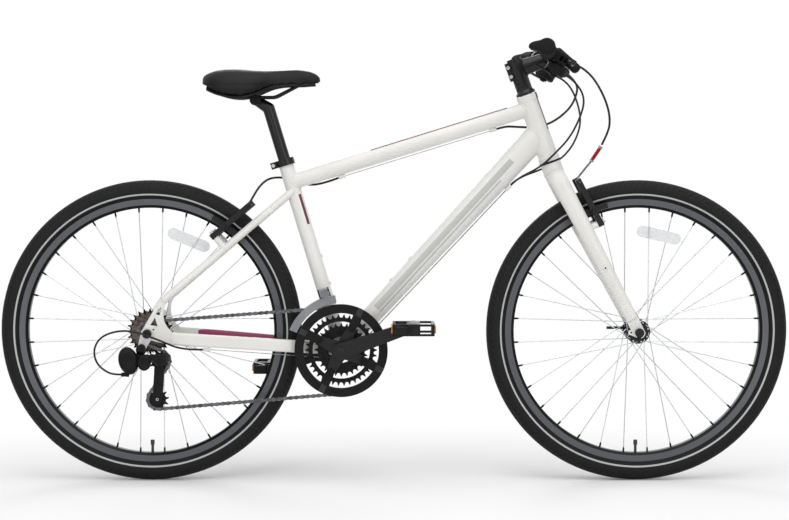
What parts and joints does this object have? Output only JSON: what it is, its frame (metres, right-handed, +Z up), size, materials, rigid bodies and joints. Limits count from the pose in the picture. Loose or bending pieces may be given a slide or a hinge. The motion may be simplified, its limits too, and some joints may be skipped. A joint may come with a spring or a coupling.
{
  "type": "hybrid bicycle",
  "caption": "Flat-bar hybrid bicycle with spoked wheels, rim brakes, triple chainset, rear derailleur and gear chain; steers, rolls, pedals, brakes and shifts",
  "frame": {"origin": "on the ground, midway between the axles, in the wheels' plane", "axes": "+X forward towards the front wheel, +Y to the rider's left, +Z up"},
  "size_m": [1.7719, 0.603, 0.9786],
  "materials": {
    "frame_paint": "gloss pearl white paint",
    "black_alloy": "satin black anodised alloy",
    "black_plastic": "matt black moulding",
    "black_steel": "black steel plate",
    "bronze_steel": "oiled bronze-grey steel",
    "steel": "bright drawn steel",
    "saddle_cover": "black sports saddle cover",
    "grip_rubber": "black moulded grip",
    "rim_alloy": "black rim with a machined brake track",
    "tyre_rubber": "black tread rubber with a pale side stripe",
    "tube_rubber": "thin black tube",
    "reflector_plastic": "clear prism reflector",
    "cable_steel": "bare cable with black stops",
    "cable_housing": "black cable casing"
  },
  "bodies": {
    "frame": {"head_tube": "frame_paint", "top_tube": "frame_paint", "down_tube": "frame_paint", "seat_tube": "frame_paint", "bottom_bracket": "black_alloy", "rear_stays": "frame_paint", "rear_dropouts": "frame_paint", "headset_bearings": "black_alloy", "seat_clamp": "black_alloy", "rear_axle": "steel", "front_derailleur_body": "black_alloy", "rear_derailleur_body": "black_alloy", "chain": "bronze_steel", "frame_cables": "cable_steel"},
    "steering": {"fork": "frame_paint", "stem": "black_alloy", "handlebar": "black_alloy", "grips": "grip_rubber", "controls": "black_alloy", "front_axle": "steel", "control_cables": "cable_housing"},
    "front_wheel": {"front_tyre": "tyre_rubber", "front_inner_tube": "tube_rubber", "front_rim": "rim_alloy", "front_spokes": "steel", "front_hub": "black_alloy", "front_reflector": "reflector_plastic"},
    "rear_wheel": {"rear_tyre": "tyre_rubber", "rear_inner_tube": "tube_rubber", "rear_rim": "rim_alloy", "rear_spokes": "steel", "rear_hub": "black_alloy", "rear_reflector": "reflector_plastic"},
    "cassette": {"cassette": "bronze_steel"},
    "crank": {"right_crank": "black_alloy", "left_crank": "black_alloy", "chainrings": "black_steel", "chain_guard": "black_plastic"},
    "right_pedal": {"right_pedal": "black_plastic"},
    "left_pedal": {"left_pedal": "black_plastic"},
    "right_brake_lever": {"right_brake_lever": "black_alloy"},
    "left_brake_lever": {"left_brake_lever": "black_alloy"},
    "right_shift_lever": {"right_shift_lever": "black_plastic"},
    "left_shift_lever": {"left_shift_lever": "black_plastic"},
    "front_left_brake_arm": {"front_left_brake_arm": "black_alloy"},
    "front_right_brake_arm": {"front_right_brake_arm": "black_alloy"},
    "rear_left_brake_arm": {"rear_left_brake_arm": "black_alloy"},
    "rear_right_brake_arm": {"rear_right_brake_arm": "black_alloy"},
    "derailleur_link": {"derailleur_link": "black_alloy"},
    "derailleur_knuckle": {"derailleur_knuckle": "black_alloy"},
    "derailleur_cage": {"derailleur_cage": "black_steel"},
    "guide_pulley": {"guide_pulley": "black_plastic"},
    "tension_pulley": {"tension_pulley": "black_plastic"},
    "front_derailleur_link": {"front_derailleur_link": "black_steel"},
    "front_derailleur_cage": {"front_derailleur_cage": "black_steel"},
    "seatpost": {"seatpost": "black_alloy"},
    "front_release_lever": {"front_release_lever": "black_alloy"},
    "rear_release_lever": {"rear_release_lever": "black_alloy"},
    "saddle": {"saddle_pad": "saddle_cover", "saddle_rails": "black_steel"}
  },
  "joints": [
    {"name": "steering", "type": "hinge", "parent": "frame", "child": "steering", "pos_m": [0.35102, 0, 0.71802], "axis": [-0.3387, 0, 0.9409], "range_deg": [-60, 60], "deforming": ["control_cables"]},
    {"name": "front_wheel_spin", "type": "hinge", "parent": "steering", "child": "front_wheel", "pos_m": [0.547, 0, 0.339], "axis": [0, 1, 0], "continuous": true},
    {"name": "rear_wheel_spin", "type": "hinge", "parent": "frame", "child": "rear_wheel", "pos_m": [-0.547, 0, 0.339], "axis": [0, 1, 0], "continuous": true},
    {"name": "crank_spin", "type": "hinge", "parent": "frame", "child": "crank", "pos_m": [-0.11786, 0, 0.299], "axis": [0, 1, 0], "continuous": true, "deforming": ["chain"]},
    {"name": "cassette_spin", "type": "hinge", "parent": "frame", "child": "cassette", "pos_m": [-0.547, 0, 0.339], "axis": [0, 1, 0], "continuous": true},
    {"name": "right_pedal_spin", "type": "hinge", "parent": "crank", "child": "right_pedal", "pos_m": [0.04288, -0.12, 0.35435], "axis": [0, 1, 0], "continuous": true},
    {"name": "left_pedal_spin", "type": "hinge", "parent": "crank", "child": "left_pedal", "pos_m": [-0.2786, 0.12, 0.24365], "axis": [0, 1, 0], "continuous": true},
    {"name": "left_brake_lever_pull", "type": "hinge", "parent": "steering", "child": "left_brake_lever", "pos_m": [0.36642, 0.16087, 0.9389], "axis": [0.4998, 0.0315, 0.8656], "range_deg": [0, 16], "stiffness_Nm_per_rad": 1.2, "springref_deg": -5.73},
    {"name": "right_brake_lever_pull", "type": "hinge", "parent": "steering", "child": "right_brake_lever", "pos_m": [0.36642, -0.16087, 0.9389], "axis": [-0.4998, 0.0315, -0.8656], "range_deg": [0, 16], "stiffness_Nm_per_rad": 1.2, "springref_deg": -5.73},
    {"name": "left_shift_push", "type": "hinge", "parent": "steering", "child": "left_shift_lever", "pos_m": [0.36326, 0.14464, 0.94132], "axis": [0.4998, 0.0315, 0.8656], "range_deg": [0, 28], "stiffness_Nm_per_rad": 0.5, "springref_deg": -5.73},
    {"name": "right_shift_push", "type": "hinge", "parent": "steering", "child": "right_shift_lever", "pos_m": [0.36326, -0.14464, 0.94132], "axis": [-0.4998, 0.0315, -0.8656], "range_deg": [0, 28], "stiffness_Nm_per_rad": 0.5, "springref_deg": -5.73},
    {"name": "front_left_brake_swing", "type": "hinge", "parent": "steering", "child": "front_left_brake_arm", "pos_m": [0.46016, 0.04, 0.58412], "axis": [0.8837, 0, 0.4681], "range_deg": [0, 2.25]},
    {"name": "front_right_brake_swing", "type": "hinge", "parent": "steering", "child": "front_right_brake_arm", "pos_m": [0.46016, -0.04, 0.58412], "axis": [-0.8837, 0, -0.4681], "range_deg": [0, 2.25]},
    {"name": "rear_left_brake_swing", "type": "hinge", "parent": "frame", "child": "rear_left_brake_arm", "pos_m": [-0.40163, 0.04, 0.55553], "axis": [0.6466, 0, -0.7628], "range_deg": [0, 2.25]},
    {"name": "rear_right_brake_swing", "type": "hinge", "parent": "frame", "child": "rear_right_brake_arm", "pos_m": [-0.40163, -0.04, 0.55553], "axis": [-0.6466, 0, 0.7628], "range_deg": [0, 2.25]},
    {"name": "derailleur_shift", "type": "hinge", "parent": "frame", "child": "derailleur_link", "pos_m": [-0.56443, -0.07929, 0.28501], "axis": [0.2059, 0.5152, 0.832], "range_deg": [0, 43], "stiffness_Nm_per_rad": 1, "springref_deg": -5.73},
    {"name": "derailleur_level", "type": "hinge", "parent": "derailleur_link", "child": "derailleur_knuckle", "pos_m": [-0.517, -0.095, 0.283], "axis": [0.2059, 0.5152, 0.832], "range_deg": [-43, 0]},
    {"name": "derailleur_tension", "type": "hinge", "parent": "derailleur_knuckle", "child": "derailleur_cage", "pos_m": [-0.517, -0.07, 0.283], "axis": [0, 1, 0], "range_deg": [-45, 25], "stiffness_Nm_per_rad": 0.4},
    {"name": "guide_pulley_spin", "type": "hinge", "parent": "derailleur_cage", "child": "guide_pulley", "pos_m": [-0.522, -0.058, 0.276], "axis": [0, 1, 0], "continuous": true},
    {"name": "tension_pulley_spin", "type": "hinge", "parent": "derailleur_cage", "child": "tension_pulley", "pos_m": [-0.52783, -0.058, 0.1902], "axis": [0, 1, 0], "continuous": true},
    {"name": "front_derailleur_shift", "type": "hinge", "parent": "frame", "child": "front_derailleur_link", "pos_m": [-0.15023, -0.02692, 0.40622], "axis": [-0.9573, 0, -0.289], "range_deg": [0, 26], "stiffness_Nm_per_rad": 1, "springref_deg": -5.73},
    {"name": "front_derailleur_level", "type": "hinge", "parent": "front_derailleur_link", "child": "front_derailleur_cage", "pos_m": [-0.15809, -0.0396, 0.43225], "axis": [-0.9573, 0, -0.289], "range_deg": [-26, 0]},
    {"name": "seatpost_height", "type": "slide", "parent": "frame", "child": "seatpost", "axis": [-0.289, 0, 0.9573], "range_m": [-0.06, 0.04]},
    {"name": "saddle_tilt", "type": "hinge", "parent": "seatpost", "child": "saddle", "pos_m": [-0.30987, 0, 0.85693], "axis": [0, 1, 0], "range_deg": [-10, 10]},
    {"name": "front_release_swing", "type": "hinge", "parent": "steering", "child": "front_release_lever", "pos_m": [0.547, 0.06398, 0.339], "axis": [0, 0, -1], "range_deg": [0, 170]},
    {"name": "rear_release_swing", "type": "hinge", "parent": "frame", "child": "rear_release_lever", "pos_m": [-0.547, 0.08248, 0.339], "axis": [0, 0, -1], "range_deg": [0, 170]}
  ],
  "couplings": [
    {"joint": "cassette_spin", "follows": "crank_spin", "ratio": 4},
    {"joint": "guide_pulley_spin", "follows": "crank_spin", "ratio": -4.3636},
    {"joint": "tension_pulley_spin", "follows": "crank_spin", "ratio": 4.3636},
    {"joint": "front_left_brake_swing", "follows": "right_brake_lever_pull", "ratio": 0.1375},
    {"joint": "front_right_brake_swing", "follows": "right_brake_lever_pull", "ratio": 0.1375},
    {"joint": "rear_left_brake_swing", "follows": "left_brake_lever_pull", "ratio": 0.1375},
    {"joint": "rear_right_brake_swing", "follows": "left_brake_lever_pull", "ratio": 0.1375},
    {"joint": "derailleur_level", "follows": "derailleur_shift", "ratio": -1},
    {"joint": "front_derailleur_level", "follows": "front_derailleur_shift", "ratio": -1}
  ]
}
